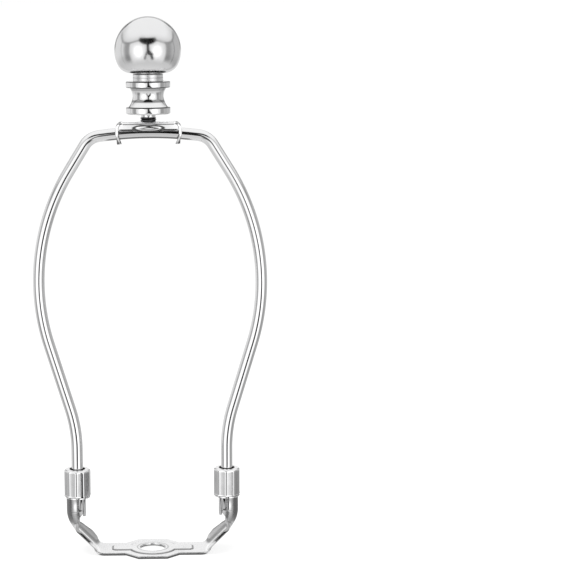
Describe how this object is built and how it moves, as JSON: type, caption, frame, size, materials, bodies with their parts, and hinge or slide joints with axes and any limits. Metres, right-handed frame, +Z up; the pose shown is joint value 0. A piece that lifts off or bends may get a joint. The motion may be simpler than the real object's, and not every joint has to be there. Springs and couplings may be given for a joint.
{
  "type": "lamp harp",
  "caption": "Wire lamp harp on a stamped saddle, with sliding fluted ferrules, a clip and stud on its crown, and a ball finial on a turned spool.",
  "frame": {"origin": "middle of the saddle's hole, on the saddle's underside", "axes": "+Z up along the harp, +X along the saddle in the plane of the wire, +Y through the harp from front to back"},
  "size_m": [0.0948, 0.0266, 0.2186],
  "materials": {
    "stamped_nickel": "bright plated stamped sheet",
    "bright_wire": "bright plated round wire",
    "fluted_nickel": "bright plated",
    "clip_nickel": "bright plated stamped sheet",
    "threaded_steel": "plated thread",
    "turned_nickel": "bright plated, turned",
    "ball_nickel": "soft satin plated"
  },
  "bodies": {
    "saddle": {"harp_saddle": "stamped_nickel"},
    "harp": {"harp_wire": "bright_wire", "top_clip": "clip_nickel", "threaded_stud": "threaded_steel"},
    "ferrule_left": {"ferrule_left": "fluted_nickel"},
    "ferrule_right": {"ferrule_right": "fluted_nickel"},
    "finial": {"finial_base": "turned_nickel", "finial_ball": "ball_nickel"}
  },
  "joints": [
    {"name": "harp_lift", "type": "slide", "parent": "saddle", "child": "harp", "axis": [0, 0, 1], "range_m": [0, 0.02]},
    {"name": "ferrule_left_slide", "type": "slide", "parent": "harp", "child": "ferrule_left", "axis": [0, 0, 1], "range_m": [0, 0.014]},
    {"name": "ferrule_right_slide", "type": "slide", "parent": "harp", "child": "ferrule_right", "axis": [0, 0, 1], "range_m": [0, 0.014]},
    {"name": "finial_lift", "type": "slide", "parent": "harp", "child": "finial", "axis": [0, 0, 1], "range_m": [0, 0.012]}
  ]
}
